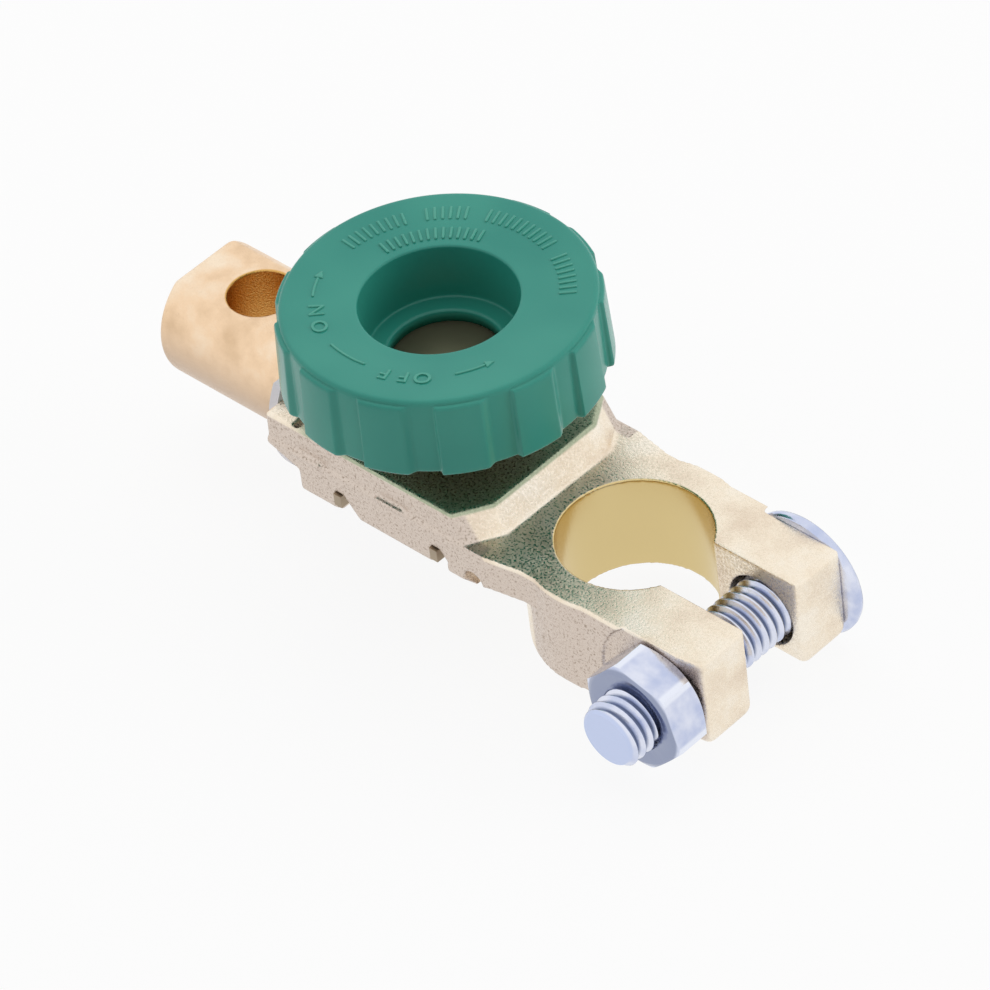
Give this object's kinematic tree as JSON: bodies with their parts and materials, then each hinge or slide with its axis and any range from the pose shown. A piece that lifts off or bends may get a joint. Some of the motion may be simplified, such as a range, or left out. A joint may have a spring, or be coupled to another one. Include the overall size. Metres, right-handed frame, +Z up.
{
  "type": "battery disconnect switch",
  "caption": "Battery terminal disconnect switch: a split post clamp with bolt and nut, a raised insulated housing, a cable lug, and a screw-down plastic knob that opens the circuit.",
  "frame": {"origin": "axis of the battery post clamp, at the clamp's underside", "axes": "+Z up along the battery post, +X from the cable lug to the clamp's ears, +Y towards the bolt's head"},
  "size_m": [0.0875, 0.0393, 0.0348],
  "materials": {
    "cast_metal": "pale as-cast surface, dull",
    "cast_lug": "pale as-cast surface, dull",
    "white_insulator": "matt",
    "green_plastic": "satin",
    "contact_metal": "dull",
    "plated_steel": "bright zinc plating"
  },
  "bodies": {
    "housing": {"clamp_body": "cast_metal", "lug_terminal": "cast_lug", "insulator_liner": "white_insulator", "base_insulator": "white_insulator", "retaining_plate": "plated_steel"},
    "lift": {"contact_washer": "contact_metal"},
    "knob_and_screw": {"knob": "green_plastic", "contact_screw": "contact_metal"},
    "bolt": {"clamp_bolt": "plated_steel"},
    "nut": {"clamp_nut": "plated_steel"}
  },
  "joints": [
    {"name": "knob_lift", "type": "slide", "parent": "housing", "child": "lift", "axis": [0, 0, 1], "range_m": [-0.0035, 0.0045]},
    {"name": "knob_turn", "type": "hinge", "parent": "lift", "child": "knob_and_screw", "pos_m": [-0.0265, 0, 0.02], "axis": [0, 0, 1], "range_deg": [-841, 1081]},
    {"name": "bolt_slide", "type": "slide", "parent": "housing", "child": "bolt", "axis": [0, 1, 0], "range_m": [0, 0.0038]},
    {"name": "nut_turn", "type": "hinge", "parent": "housing", "child": "nut", "pos_m": [0.0139, -0.0143, 0.0058], "axis": [0, -1, 0], "range_deg": [0, 1096]}
  ],
  "couplings": [
    {"joint": "knob_turn", "follows": "knob_lift", "rad_per_m": 4188.8},
    {"joint": "nut_turn", "follows": "bolt_slide", "rad_per_m": 5026.6}
  ]
}
